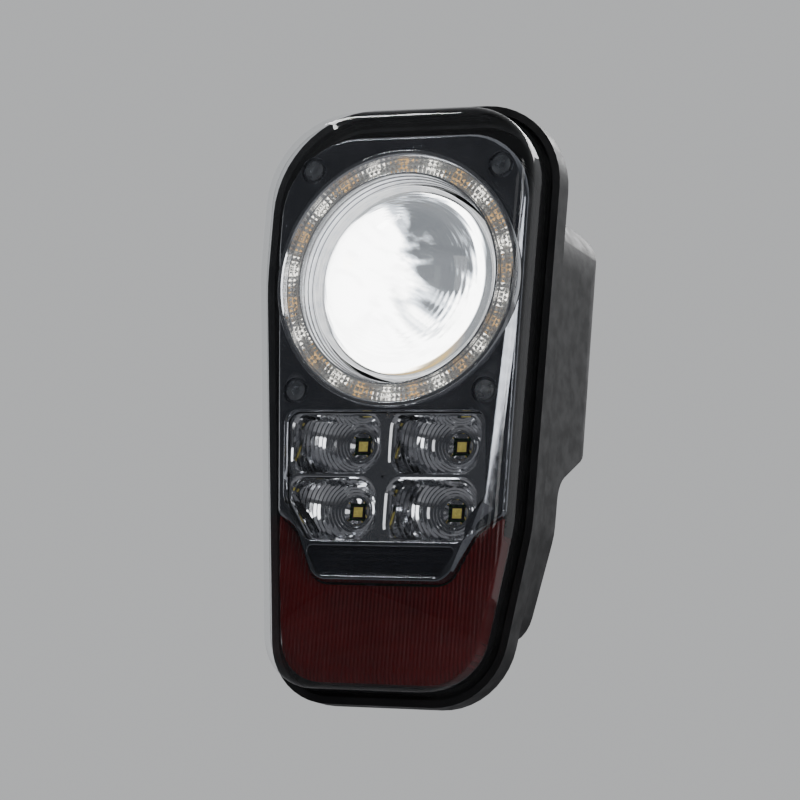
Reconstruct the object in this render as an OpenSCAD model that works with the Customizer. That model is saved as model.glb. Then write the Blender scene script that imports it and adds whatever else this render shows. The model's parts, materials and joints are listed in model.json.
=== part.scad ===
// Combination fog lamp: a projector fog light with a halo ring, a cluster of four LED cells
// and a red marker section, all in one sealed housing.
// Millimetres. +Z is up and the lamp shines along -Y. The origin is the centre of the four
// mounting studs, on the rear face of the mounting gasket.

/* [Cover] */
// Height of the clear cover
cover_h = 234; // [232:1:236]
// Wall of the clear cover
cover_t = 2.5; // [2:0.5:2.5]
// How far the cover's front bulges beyond its rounded edge
cover_crown = 13; // [11:1:15]

/* [Projector] */
// Radius of the projector lens
lens_r = 37.9; // [37:0.1:38]
// How far the lens bulges in front of its seat
lens_bulge = 23.5; // [21:0.5:24]
// Height of the aiming screw above the projector's axis
arm_h = 52; // [51.5:0.5:52.5]

/* [Halo] */
// Outer radius of the halo ring's lip
halo_r = 52.5; // [52:0.1:52.7]
// Facets round the jewelled light ring
halo_facets = 72; // [48:12:96]
// Light sources round the halo, every other one of them amber
halo_leds = 24; // [12:4:28]

/* [LED cells] */
// Width of one cell
cell_w = 36.5; // [34:0.5:37]
// Height of one cell
cell_h = 23.5; // [21:0.5:24]

/* [Mounting] */
// Distance between the studs across the lamp
stud_dx = 56; // [54:1:57]
// Distance between the studs up the lamp
stud_dz = 206; // [204:1:207]
// Radius of the stud shanks
stud_r = 3; // [2.5:0.5:3]
// Length of stud behind the gasket
stud_len = 18; // [12:1:25]

/* [Hidden] */
$fn = 48;
half_h = cover_h / 2;
axis_z = 48;
arm_z = axis_z + arm_h;
wall = 2.5;
play = 0.05;

// Levels along Y, from the front of the lamp to its back
bezel_y = -24;
red_y = -21;
pocket_y = -20;
floor_y = -19.8;
channel_y = -12;
halo_board_y = -10;
seal_y = -8;
flange_y = -6;
gasket_y = -2.5;
pivot_y = 3;
cluster_y = 4.2;
nut_y = 12;
driver_y = 24.2;
shield_y = 32;
low_back_y = 37;
back_y = 71;
aim_end_y = 77;
board_t = 1.6;

// Corners of the outlines, clockwise from the front: x, z and the corner's radius
COVER = [[-60, half_h, 38], [58, half_h, 30], [56.5, -50, 60], [46, -half_h, 26],
         [-42, -half_h, 22], [-60, 50, 120]];
BEZEL = [[-55, 107, 32], [53, 107, 27], [52, -46, 4], [41, -53.5, 12], [31, -74, 9],
         [-27, -74, 9], [-36, -54, 12], [-45.3, -46.5, 4], [-54.8, 60, 100]];
BOWL = [[-19, 113, 6], [19, 113, 6], [19, 93, 5], [51.5, 93, 30], [50, -45, 40],
        [40, -93, 18], [-36, -93, 16], [-51.5, 50, 60], [-51.5, 93, 30], [-19, 93, 5]];
POCKET = [[-45, -5.5, 5], [42, -5.5, 5], [44.5, -38, 8], [37, -57.7, 6],
          [-31.5, -57.7, 6], [-42.3, -41.5, 12]];
TRAY = [[-31.5, -59.7, 2], [34.5, -59.7, 2], [27.5, -71.5, 4], [-25, -71.5, 4]];
// The bowl seen from the side: y, z and radius, and from above: x, y and radius
SIDE = [[-30, 130, 1], [back_y, 130, 1], [back_y, -4, 12], [low_back_y, -24, 12],
        [low_back_y, -93, 9], [-30, -93, 1]];
ABOVE = [[-56, 30, 20], [-48, back_y, 11], [48, back_y, 11], [56, 30, 20], [56, -30, 1],
         [-56, -30, 1]];

TOP_SCREWS = [for (s = [-1, 1]) [s * 41, axis_z + 45.3]];
LOW_SCREWS = [for (s = [-1, 1]) [s * 41, axis_z - 45.3]];
STUDS = [for (x = [-1, 1], z = [-1, 1]) [x * stud_dx / 2, z * stud_dz / 2]];
CELLS = [[-23.2, -17.5], [20.2, -17.5], [-23.2, -44.3], [20.2, -44.3]];
cell_mid = [(CELLS[0][0] + CELLS[1][0]) / 2, (CELLS[0][1] + CELLS[2][1]) / 2];
LEDS = [for (c = CELLS) c + [1.4, 2.2]];
POSTS = [for (x = [-33, 33], z = [-10, -50]) [x, z]];
DRIVER_POSTS = [for (x = [-24, 24], z = [-80, -36]) [x, z]];
BREATHERS = [[-30, 18], [30, 18]];
MARKER_LEDS = [for (x = [-14, 0, 14], z = [-85, -100]) [x, z]];
PIVOT_SCREWS = [for (x = [-45, 45], z = [-6.2, 6.2]) [x, axis_z + z]];
SINK_SCREWS = [for (x = [-20, 20], z = [-12, -20]) [x, axis_z + z]];
ARM_SCREWS = [-4, 4];
plug_z = -66;
plug_screw_x = 18;
pin_r = 2.5;
// How far the part of a stud that is pressed into the flange stands out from its shank
serration = 0.4;
barrel_r = 39.4;

// ---- Outlines ----

function flat(c) = [c[0], c[1]];
function unit(v) = v / norm(v);
function outward(a, b) = let (d = unit(flat(b) - flat(a))) [-d[1], d[0]];
// 1 at a corner that points outwards, -1 at one that points inwards
function corner_sign(a, b, c) = cross(flat(b) - flat(a), flat(c) - flat(b)) < 0 ? 1 : -1;

// The corners moved outwards by d, with their radii changed to suit
function grown(corners, d) = let (n = len(corners)) [for (i = [0:n - 1])
    let (a = corners[(i + n - 1) % n], b = corners[i], c = corners[(i + 1) % n],
         p = outward(a, b), q = outward(b, c), m = d * (p + q) / (1 + p * q))
    [b[0] + m[0], b[1] + m[1], max(0.3, b[2] + d * corner_sign(a, b, c))]];

// Points along the arc that rounds corner b
function corner_arc(a, b, c, steps) =
    let (u = unit(flat(a) - flat(b)), v = unit(flat(c) - flat(b)), half = acos(u * v) / 2,
         centre = flat(b) + unit(u + v) * b[2] / sin(half), span = 180 - 2 * half,
         p = flat(b) + u * b[2] / tan(half) - centre,
         q = flat(b) + v * b[2] / tan(half) - centre)
    [for (k = [0:steps]) centre
        + (sin((1 - k / steps) * span) * p + sin(k / steps * span) * q) / sin(span)];

// How many straight steps an arc needs to stay within chord_error of a true circle
chord_error = 0.08;
function arc_steps(a, b, c) =
    let (span = 180 - acos(unit(flat(a) - flat(b)) * unit(flat(c) - flat(b))))
    ceil(span / (2 * acos(1 - chord_error / b[2])));

function rounded(corners, steps = 0) = let (n = len(corners)) [for (i = [0:n - 1])
    let (a = corners[(i + n - 1) % n], b = corners[i], c = corners[(i + 1) % n])
    each corner_arc(a, b, c, steps > 0 ? steps : arc_steps(a, b, c))];

module outline(corners, d = 0) polygon(rounded(grown(corners, d)));

// What lies between an outline moved by d_out and the same outline moved by d_in
module band(corners, d_out, d_in) {
    difference() {
        outline(corners, d_out);
        outline(corners, d_in);
    }
}

// ---- Basic solids ----

// A flat shape in X and Z made into a slab from y0 back to y1
module slab(y0, y1) translate([0, y1, 0]) rotate([90, 0, 0]) linear_extrude(y1 - y0) children();

// Copies at points given by x and z
module at(points) for (p = points) translate([p[0], 0, p[1]]) children();

// A round bar along Y
module bar(r, y0, y1) translate([0, y1, 0]) rotate([90, 0, 0]) cylinder(r = r, h = y1 - y0);

// A round bar along X, to the right of the middle and mirrored to the left
module side_bars(r, x0, x1) {
    for (s = [0, 1]) mirror([s, 0, 0]) translate([x0, pivot_y, axis_z]) rotate([0, 90, 0])
        cylinder(r = r, h = x1 - x0);
}

module pipe(r, bore, y0, y1) {
    difference() {
        bar(r, y0, y1);
        bar(bore, y0 - 1, y1 + 1);
    }
}

// A block given by its width and height about the Y axis, and its ends along Y
module block(w, h, y0, y1) translate([-w / 2, y0, -h / 2]) cube([w, y1 - y0, h]);

// A profile of radius and y turned round the projector's axis
module turned(profile) {
    translate([0, 0, axis_z]) rotate([-90, 0, 0]) rotate_extrude($fn = 96) polygon(profile);
}

// A pan-head screw along Y whose head starts at y0
module pan_screw(head_r, head_h, shank_r, y0, length) {
    difference() {
        bar(head_r, y0, y0 + head_h);
        translate([0, y0 + 0.55 * head_h, 0]) rotate([90, 0, 0])
            cylinder(r = 0.5 * head_r, h = head_h, $fn = 6);
    }
    bar(shank_r, y0 + head_h, y0 + head_h + length);
}

// ---- Cover, seal and housing ----

edge_r = 8;
side_y = -26;
edge_y = side_y - edge_r * sin(70);
edge_share = 0.1;
function crown_y(share) = edge_y - cover_crown
    * (1 - pow((1 - share) / (1 - edge_share), 2));
// Rings of the cover from its edge to its middle: the share of the way in, and the y
RINGS = concat([[0, seal_y], [0.01, side_y]],
    [for (a = [14:14:70]) [0.01 + edge_r * (1 - cos(a)) / 57, side_y - edge_r * sin(a)]],
    [for (k = [1:9]) let (share = edge_share + (0.97 - edge_share) * k / 9)
        [share, crown_y(share)]]);
// The line that the rings close in on runs up the lamp between these heights
function middle(z) = min(half_h - 58, max(45 - half_h, z));
function cover_ring(share, y, d) = [for (p = rounded(grown(COVER, d), 8))
    [p[0] * (1 - share) - share, y, p[1] + (middle(p[1]) - p[1]) * share]];

// A shell that is open at its first ring: the outer skin's rings, then the inner skin's
module shell(outer, inner) {
    n = len(outer[0]);
    k = len(outer);
    rings = concat(outer, [for (a = [k - 1:-1:0]) inner[a]]);
    polyhedron([for (r = rings) each r],
        concat([for (a = [0:2 * k - 1], i = [0:n - 1]) if (a != k - 1)
                let (b = (a + 1) % (2 * k), j = (i + 1) % n)
                each [[a * n + i, b * n + j, a * n + j], [a * n + i, b * n + i, b * n + j]]],
            [[for (i = [n - 1:-1:0]) (k - 1) * n + i]], [[for (i = [0:n - 1]) k * n + i]]));
}

module outer_lens() {
    color([0.92, 0.95, 0.98, 0.3]) shell([for (r = RINGS) cover_ring(r[0], r[1], 0)],
        [for (r = RINGS) cover_ring(r[0], r[1] + (r[1] == seal_y ? 0 : cover_t), -cover_t)]);
}

module lens_seal() color("dimgray") slab(seal_y, flange_y) band(COVER, 1, -3.6);

// The bowl behind the flange, with its skin moved outwards by d
module bowl(d, y0) {
    intersection() {
        slab(y0, back_y + d) outline(BOWL, d);
        translate([-80, 0, 0]) rotate([90, 0, 90]) linear_extrude(160) outline(SIDE, d);
        translate([0, 0, -140]) linear_extrude(280) outline(ABOVE, d);
    }
}

// The frame that carries the cover and the bezel, with a groove for the lens seal
module housing_flange() {
    color([0.06, 0.06, 0.065]) difference() {
        union() {
            slab(flange_y, gasket_y) difference() {
                outline(COVER, 4);
                outline(BOWL, -wall);
            }
            slab(channel_y, flange_y + 1) band(COVER, 4, 1);
            slab(channel_y, flange_y + 1) band(COVER, -3.6, -5);
            at(TOP_SCREWS) bar(4, floor_y, flange_y + 1);
            at(LOW_SCREWS) bar(4, floor_y, gasket_y);
            for (p = LOW_SCREWS) translate([p[0] * 1.1, 0, p[1]])
                block(10, 5, flange_y, gasket_y);
        }
        at(STUDS) bar(stud_r + serration, -20, 20);
        at(concat(TOP_SCREWS, LOW_SCREWS)) bar(1.3, -30, -8);
    }
}

module housing_bosses() {
    at([[0, arm_z]]) bar(8, back_y - 4, aim_end_y);
    at(BREATHERS) bar(4, back_y - 1, back_y + 7);
    at(POSTS) bar(3, cluster_y + board_t, low_back_y - 1);
    at(DRIVER_POSTS) bar(3.5, driver_y + board_t, low_back_y - 1);
    for (s = [-1, 1]) translate([s * 46, 0, axis_z]) block(6.5, 17.6, 8.2, 40);
}

module rear_housing() {
    color([0.06, 0.06, 0.065]) difference() {
        union() {
            difference() {
                bowl(0, gasket_y);
                bowl(-wall, gasket_y - 1);
            }
            housing_bosses();
        }
        at([[0, arm_z]]) {
            bar(pin_r + 2 * play, 40, 90);
            bar(4.5, aim_end_y - 5, 90);
        }
        at(BREATHERS) bar(2, 50, 90);
        at(POSTS) bar(1.1, 0, 16);
        at(DRIVER_POSTS) bar(1.1, 20, 33);
        at(PIVOT_SCREWS) bar(1.1, 6, 20);
        at([[0, plug_z]]) block(24, 14, 25, 45);
        at([[-plug_screw_x, plug_z], [plug_screw_x, plug_z]]) bar(1.1, 30, 42);
    }
}

module mounting_gasket() {
    color([0.15, 0.15, 0.16]) difference() {
        slab(gasket_y, 0) difference() {
            outline(COVER, 3);
            outline(BOWL, 1.5);
        }
        at(STUDS) bar(stud_r + 1, -5, 5);
    }
}

module mounting_studs() {
    color("silver") at(STUDS) {
        bar(5.2, flange_y - 2.4, flange_y);
        bar(stud_r + serration, flange_y, 0);
        bar(stud_r, 0, stud_len);
    }
}

module breather_caps() {
    color([0.1, 0.1, 0.1]) at(BREATHERS) difference() {
        bar(6, back_y + 1, back_y + 9);
        bar(4, back_y, back_y + 7);
        for (a = [0, 90]) rotate([0, a, 0]) block(14, 2, back_y, back_y + 2.5);
    }
}

// ---- Connector ----

module connector_inlet() {
    color([0.1, 0.1, 0.11]) difference() {
        at([[0, plug_z]]) {
            block(23.8, 13.8, 30, 40);
            block(44, 20, low_back_y + 1.2, low_back_y + 4);
            block(29, 19, low_back_y + 3, 58);
            translate([0, 0, 10]) block(8, 3, 48, 53);
        }
        at([[0, plug_z]]) block(25, 15, 44, 60);
        at([for (k = [0:5]) [k * 3.6 - 9, plug_z - 3.5]]) block(1.2, 1.2, 20, 60);
        at([[-plug_screw_x, plug_z], [plug_screw_x, plug_z]]) bar(1.5, 30, 45);
    }
}

module connector_seal() {
    color([0.7, 0.35, 0.15]) difference() {
        at([[0, plug_z]]) block(44, 20, low_back_y, low_back_y + 1.2);
        at([[0, plug_z]]) block(23.8, 13.8, 30, 45);
        at([[-plug_screw_x, plug_z], [plug_screw_x, plug_z]]) bar(1.5, 30, 45);
    }
}

module connector_pins() {
    color("gold") at([for (k = [0:5]) [k * 3.6 - 9, plug_z - 3.5]])
        block(1.2, 1.2, driver_y + board_t, 54);
}

module connector_screws() {
    color("silver") at([[-plug_screw_x, plug_z], [plug_screw_x, plug_z]])
        translate([0, low_back_y + 4, 0]) mirror([0, 1, 0]) pan_screw(2.6, 1.8, 1.1, -1.8, 9);
}

// ---- Bezel ----

module bezel() {
    color([0.55, 0.56, 0.58]) difference() {
        union() {
            slab(bezel_y, bezel_y + 2) outline(BEZEL);
            slab(bezel_y, -13) band(BEZEL, 0, -1.6);
            at(concat(TOP_SCREWS, LOW_SCREWS)) bar(6.6, bezel_y + 1, floor_y);
            // walls that hide the backs of the cells and of the tray
            slab(bezel_y, -18) intersection() {
                union() {
                    band(POCKET, 1.5, 0);
                    band(TRAY, 1.2, 0);
                }
                outline(BEZEL);
            }
        }
        at([[0, axis_z]]) bar(halo_r - 1.5, -30, -10);
        slab(-30, -10) outline(POCKET);
        slab(-30, -10) outline(TRAY);
        at(concat(TOP_SCREWS, LOW_SCREWS)) {
            bar(5.3, -30, floor_y - 2);
            bar(1.6, -30, -10);
        }
    }
}

module bezel_screws() {
    color("silver") at(concat(TOP_SCREWS, LOW_SCREWS))
        pan_screw(4, 2.1, 1.3, floor_y - 4.1, 12);
}

// A smoked window in three steps, each deeper than the last
module tray_window() {
    color([0.12, 0.13, 0.17, 0.8]) difference() {
        slab(-23, -17.5) outline(TRAY, -0.2);
        for (k = [1:3]) slab(-30, -23 + k) translate([0, -0.9 * k]) outline(TRAY, -1.6 * k);
    }
}

// ---- Halo ----

module halo_trim() {
    color("lightgray") turned([[50, -25.2], [50.8, -26], [51.8, -26], [halo_r, -25.3],
        [halo_r, bezel_y], [50.9, bezel_y], [50.9, -18], [50, -18]]);
}

// Chrome steps from the light ring down to the lens
module halo_funnel() {
    color("silver") turned([[42.6, -25], [43.4, -25], [43.4, -22.5], [42.6, -22.5],
        [42.6, -12.4], [43.6, -12.4], [43.6, halo_board_y], [41, halo_board_y], [41, -16],
        [41.5, -16], [41.5, -19], [42, -19], [42, -22], [42.6, -22.6]]);
}

module halo_lens() {
    color([0.95, 0.97, 1, 0.5]) translate([0, 0, axis_z]) difference() {
        pipe(49.8, 43.6, -22, -12.2);
        for (k = [0:halo_facets - 1]) rotate([0, k * 360 / halo_facets, 0])
            translate([46.7, -22, 0]) rotate([0, 0, 45]) rotate([90, 0, 90]) block(1, 1, -4, 4);
    }
}

module halo_board() {
    color([0.9, 0.9, 0.88]) at([[0, axis_z]]) pipe(51, 41, halo_board_y, halo_board_y + board_t);
}

// Light sources round the halo: the even places or the odd ones
module halo_leds_at(first) {
    for (k = [first:2:halo_leds - 1]) translate([0, 0, axis_z])
        rotate([0, (k + 0.5) * 360 / halo_leds, 0]) translate([46.7, 0, 0])
            block(2.8, 3.5, halo_board_y - 1, halo_board_y);
}

module halo_white_leds() color("ivory") halo_leds_at(0);

module halo_amber_leds() color("orange") halo_leds_at(1);

module halo_backing() {
    color([0.2, 0.2, 0.2]) at([[0, axis_z]]) pipe(50.5, 43, halo_board_y + board_t, flange_y);
}

// ---- LED cells ----

cell_steps = 5;
function step_y(k) = -18 + 3.4 * k;

// Step k of cell i's opening, drawn d larger all round
module cell_opening(i, k, d = 0) {
    share = 1 - 0.125 * k;
    translate(CELLS[i] + [0.28, 0.44] * k)
        outline([for (c = [[-1, 1], [1, 1], [1, -1], [-1, -1]])
            [c[0] * cell_w * share / 2, c[1] * cell_h * share / 2, 6 * share]], d);
}

// A stepped bowl round one LED; its rim fills a quarter of the bezel's pocket
module cell_reflector(i) {
    side = CELLS[i] - cell_mid;
    color([0.8, 0.8, 0.82]) difference() {
        union() {
            slab(pocket_y, -9) intersection() {
                outline(POCKET, -0.3);
                translate(cell_mid + [side[0] > 0 ? 0.1 : -60.1, side[1] > 0 ? 0.1 : -60.1])
                    square(60);
            }
            for (k = [3:cell_steps]) slab(-10, step_y(k) + 1.2) cell_opening(i, k, 1.2);
            translate([LEDS[i][0], 0, LEDS[i][1]]) block(14, 12, -10, cluster_y - 1.7);
        }
        for (k = [0:cell_steps]) slab(-30, step_y(k)) intersection() {
            cell_opening(i, k);
            outline(POCKET, -1.3);
        }
        translate([LEDS[i][0], 0, LEDS[i][1]]) block(7, 7, -5, 10);
    }
}

module cluster_board() {
    color([0.1, 0.3, 0.15]) difference() {
        slab(cluster_y, cluster_y + board_t) intersection() {
            translate([-42, -56]) square([84, 50]);
            outline(BOWL, -3.5);
        }
        at(POSTS) bar(1.1, 0, 16);
    }
}

module cluster_led_bases() {
    color([0.15, 0.15, 0.15]) at(LEDS) difference() {
        block(5, 5, cluster_y - 1.6, cluster_y);
        block(4, 4, cluster_y - 3, cluster_y - 1.1);
    }
}

module cluster_led_phosphors() {
    color("khaki") at(LEDS) block(4, 4, cluster_y - 1.5, cluster_y - 1.1);
}

module cluster_heatsink() {
    color([0.7, 0.7, 0.72]) {
        translate([-27, cluster_y + board_t, -53]) cube([54, 2.4, 44]);
        for (k = [0:8]) translate([-26.5 + 6.4 * k, cluster_y + board_t, -53])
            cube([1.6, 11, 44]);
    }
}

module cluster_screws() {
    color("silver") at(POSTS) pan_screw(2.5, 1.6, 1.1, cluster_y - 1.6, 9);
}

// ---- Red marker section ----

// Everything below the height where the red section starts
module below_red(top) translate([-80, top - 80]) square([160, 80]);

red_top = -47.5;

module red_lens() {
    color([0.6, 0.04, 0.05]) {
        slab(red_y, red_y + 2.4) intersection() {
            difference() {
                outline(COVER, -3.8);
                outline(BEZEL, 0.8);
            }
            below_red(red_top);
        }
        slab(red_y + 2, channel_y - 0.2) intersection() {
            band(COVER, -3.8, -5.6);
            below_red(red_top);
        }
    }
}

module marker_reflector() {
    color([0.75, 0.75, 0.76]) difference() {
        slab(-17.8, -9.4) intersection() {
            outline(COVER, -6.4);
            below_red(-76);
        }
        for (p = MARKER_LEDS) for (k = [0:2]) translate([p[0], 0, p[1]])
            block(13 - 3 * k, 13 - 3 * k, -19 + 2.5 * k, -15 + 2.5 * k);
        at(MARKER_LEDS) block(4, 4, -15, 0);
    }
}

module marker_board() {
    color([0.1, 0.3, 0.15]) translate([-21, flange_y - board_t, -107]) cube([42, board_t, 29]);
}

module marker_leds() {
    color("darkred") at(MARKER_LEDS) block(3.2, 2.8, -9, flange_y - board_t);
}

// ---- Driver ----

module driver_board() {
    color([0.1, 0.3, 0.15]) difference() {
        translate([-29, driver_y, -85]) cube([58, board_t, 54]);
        at(DRIVER_POSTS) bar(1.1, 20, 30);
    }
}

module driver_parts() {
    color([0.2, 0.2, 0.22]) {
        at([[-10, -73]]) bar(5, driver_y - 7, driver_y);
        at([[12, -74]]) block(12, 12, driver_y - 5, driver_y);
        at([[0, -56], [-14, -52], [14, -52]]) block(7, 5, driver_y - 1.4, driver_y);
        at([for (k = [0:6]) [k * 5 - 15, -43]]) block(2, 1.2, driver_y - 0.8, driver_y);
        at([for (k = [0:6]) [k * 5 - 15, -38]]) block(3.2, 1.6, driver_y - 1, driver_y);
    }
}

module driver_screws() {
    color("silver") at(DRIVER_POSTS) pan_screw(2.6, 1.8, 1.1, driver_y - 1.8, 8);
}

// ---- Pivot ----

module pivot_blocks() {
    color([0.3, 0.3, 0.32]) difference() {
        for (s = [-1, 1]) translate([s * 45, 0, axis_z]) block(4.8, 17.6, -3, 8.2);
        side_bars(3.6, 41, 50);
        at(PIVOT_SCREWS) bar(1.4, -10, 10);
    }
}

module pivot_bushes() {
    color([0.75, 0.7, 0.55]) difference() {
        side_bars(3.6, 42.6, 47.4);
        side_bars(pin_r + play, 41, 50);
    }
}

module pivot_block_screws() {
    color("silver") at(PIVOT_SCREWS) pan_screw(2.2, 1.6, 1.1, -4.6, 18);
}

// ---- Projector ----

seat_y = -11.5;
// The radius of the sphere whose cap has the lens's radius and bulge
cap_r = (lens_r * lens_r + lens_bulge * lens_bulge) / (2 * lens_bulge);
rim_t = 1.9;

module projector_lens() {
    color([0.85, 0.9, 1, 0.6]) intersection() {
        translate([0, seat_y - rim_t - lens_bulge + cap_r, axis_z]) sphere(cap_r, $fn = 128);
        at([[0, axis_z]]) bar(lens_r, -60, seat_y);
    }
}

module lens_retainer() {
    color("gainsboro") turned([[36.4, -18.6], [39, -18.6], [barrel_r, -18.2], [barrel_r, -9],
        [lens_r + 0.1, -9], [lens_r + 0.1, -14], [36.4, -17.2]]);
}

module lens_barrel() {
    color([0.25, 0.25, 0.26]) difference() {
        union() {
            turned([[35.5, seat_y], [lens_r, seat_y], [lens_r, -9], [barrel_r, -9],
                [barrel_r, 14], [30, 28], [30, shield_y], [23, shield_y], [23, 27], [35.5, 12]]);
            side_bars(5, 37.8, 42);
            translate([-9, 6, 84]) cube([18, 12, 6]);
        }
        side_bars(pin_r, 30, 50);
        at([[0, axis_z]]) bar(35.5, -20, 10);
        for (x = ARM_SCREWS) translate([x, nut_y, 80]) cylinder(r = 1, h = 20);
        at(SINK_SCREWS) bar(1, 28, 40);
    }
}

module trunnion_pins() color("silver") side_bars(pin_r, 36.5, 47);

module cutoff_shield() {
    color([0.3, 0.3, 0.3]) difference() {
        at([[0, axis_z]]) bar(30, shield_y, shield_y + 1.4);
        translate([-22, shield_y - 5, axis_z]) cube([44, 10, 18]);
        at(SINK_SCREWS) bar(1.1, 20, 40);
    }
}

bowl_end = 28;
// A quarter ellipse of radius and y behind the shield, drawn t inside the outer one
function ellipse(t) = [for (a = [0:10:90]) [(29 - t) * cos(a),
    shield_y + 1.4 + (bowl_end - t) * sin(a)]];

module projector_reflector() {
    color([0.85, 0.85, 0.87]) intersection() {
        difference() {
            turned(concat(ellipse(0), [[0, shield_y + 1.4]]));
            turned(concat([[27, shield_y]], ellipse(2), [[0, shield_y]]));
        }
        translate([-40, 0, axis_z - 1.5]) cube([80, 90, 40]);
    }
}

module main_led_board() {
    color([0.92, 0.92, 0.9]) translate([-16, 36, axis_z - 3.1]) cube([32, 26, board_t]);
}

module main_led() {
    color("khaki") translate([-4, 44, axis_z - 1.5]) cube([8, 5, 1]);
}

module heat_sink() {
    color([0.6, 0.6, 0.62]) difference() {
        union() {
            translate([-28, shield_y + 1.4, axis_z - 8]) cube([56, 30, 4.9]);
            translate([-25, shield_y + 1.4, axis_z - 23]) cube([50, 3, 16]);
            for (k = [0:7]) translate([-28 + 7.8 * k, shield_y + 3.4, axis_z - 30])
                cube([1.4, 28, 23]);
        }
        at([[0, axis_z]]) pipe(60, 30, shield_y, shield_y + 3.4);
        at(SINK_SCREWS) bar(1, 30, 38);
        at(SINK_SCREWS) bar(2.4, shield_y + 4.4, shield_y + 12);
    }
}

module heat_sink_screws() {
    color("silver") at(SINK_SCREWS) translate([0, shield_y + 4.4, 0]) mirror([0, 1, 0])
        pan_screw(2.2, 1.6, 1, -1.6, 7.4);
}

// ---- Aiming ----

// A fork that straddles the nut; its slots take the nut's side pins
module aim_arm() {
    color([0.5, 0.5, 0.52]) difference() {
        union() {
            translate([-9, nut_y - 5, 90]) cube([18, 10, 2.5]);
            for (s = [-1, 1]) translate([s * 7.3, nut_y - 5, 90]) translate([-1.4, 0, 0])
                cube([2.8, 10, arm_z - 85]);
        }
        translate([-10, nut_y - 2.6, arm_z - 4]) cube([20, 5.2, 20]);
        for (x = ARM_SCREWS) translate([x, nut_y, 80]) cylinder(r = 1, h = 20);
    }
}

module aim_arm_screws() {
    color("silver") for (x = ARM_SCREWS) translate([x, nut_y, 92.5]) rotate([-90, 0, 0])
        pan_screw(1.8, 1.2, 1, -1.2, 7);
}

module aim_nut() {
    color([0.85, 0.85, 0.8]) difference() {
        translate([0, nut_y, arm_z]) {
            block(10, 9, -3, 3);
            rotate([0, 90, 0]) translate([0, 0, -8.5]) cylinder(r = 2, h = 17);
        }
        at([[0, arm_z]]) bar(pin_r + play, 0, 30);
    }
}

module aim_screw() {
    color("silver") at([[0, arm_z]]) {
        bar(pin_r, 3, 85);
        bar(4, back_y - 6.5, back_y - 4.3);
    }
}

module aim_knob() {
    color([0.12, 0.12, 0.12]) at([[0, arm_z]]) difference() {
        union() {
            bar(7, aim_end_y + 0.3, 80);
            translate([0, 88, 0]) rotate([90, 0, 0]) cylinder(r = 5.6, h = 8.5, $fn = 6);
        }
        bar(pin_r, 70, 85);
        block(8, 1.4, 86, 90);
    }
}

module aim_seal() {
    color([0.7, 0.35, 0.15]) at([[0, arm_z]])
        pipe(4.5, pin_r + play, aim_end_y - 5, aim_end_y - 1);
}

outer_lens();
lens_seal();
housing_flange();
rear_housing();
mounting_gasket();
mounting_studs();
breather_caps();
connector_inlet();
connector_seal();
connector_pins();
connector_screws();
bezel();
bezel_screws();
tray_window();
halo_trim();
halo_funnel();
halo_lens();
halo_board();
halo_white_leds();
halo_amber_leds();
halo_backing();
cell_reflector(0);  // cell_reflector_1
cell_reflector(1);  // cell_reflector_2
cell_reflector(2);  // cell_reflector_3
cell_reflector(3);  // cell_reflector_4
cluster_board();
cluster_led_bases();
cluster_led_phosphors();
cluster_heatsink();
cluster_screws();
red_lens();
marker_reflector();
marker_board();
marker_leds();
driver_board();
driver_parts();
driver_screws();
pivot_blocks();
pivot_bushes();
pivot_block_screws();
projector_lens();
lens_retainer();
lens_barrel();
trunnion_pins();
cutoff_shield();
projector_reflector();
main_led_board();
main_led();
heat_sink();
heat_sink_screws();
aim_arm();
aim_arm_screws();
aim_nut();
aim_screw();
aim_knob();
aim_seal();
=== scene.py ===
# %% [markdown]
# # A combination fog lamp
# The lamp is a sealed box with a clear front: a projector fog light in a jewelled halo
# ring, four LED cells under it, a small smoked window and a fluted red marker section.
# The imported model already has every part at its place, and it stays as the frame. This
# script gives each part its finish, and remakes the parts whose shape carries the look.

# %% Load the frame
import json
import math

import bmesh
import bpy
from mathutils import Matrix, Vector


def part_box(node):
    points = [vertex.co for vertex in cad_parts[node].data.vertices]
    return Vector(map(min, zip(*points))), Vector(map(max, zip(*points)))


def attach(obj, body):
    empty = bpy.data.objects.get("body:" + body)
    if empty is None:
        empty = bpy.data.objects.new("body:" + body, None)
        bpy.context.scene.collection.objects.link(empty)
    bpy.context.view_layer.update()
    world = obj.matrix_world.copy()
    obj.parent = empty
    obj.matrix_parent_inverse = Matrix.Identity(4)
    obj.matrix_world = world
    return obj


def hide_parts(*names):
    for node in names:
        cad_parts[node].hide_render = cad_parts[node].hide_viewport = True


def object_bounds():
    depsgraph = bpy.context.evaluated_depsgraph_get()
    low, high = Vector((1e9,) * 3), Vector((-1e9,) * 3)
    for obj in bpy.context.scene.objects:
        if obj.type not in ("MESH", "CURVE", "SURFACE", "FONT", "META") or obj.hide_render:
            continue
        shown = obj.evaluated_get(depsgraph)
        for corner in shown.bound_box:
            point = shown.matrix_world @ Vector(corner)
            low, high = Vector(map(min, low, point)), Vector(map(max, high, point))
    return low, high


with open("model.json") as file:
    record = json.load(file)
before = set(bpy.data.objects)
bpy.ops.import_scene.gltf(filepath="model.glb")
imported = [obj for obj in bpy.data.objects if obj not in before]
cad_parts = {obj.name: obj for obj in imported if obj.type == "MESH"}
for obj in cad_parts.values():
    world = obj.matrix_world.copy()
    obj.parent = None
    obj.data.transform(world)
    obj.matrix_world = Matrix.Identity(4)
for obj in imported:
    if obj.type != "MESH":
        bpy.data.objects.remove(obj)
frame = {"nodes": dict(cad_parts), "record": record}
nodes = frame["nodes"]
cad_box = [list(corner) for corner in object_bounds()]
MM = 0.001
print("parts in the frame:", len(nodes), "box in m:", cad_box)

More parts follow.
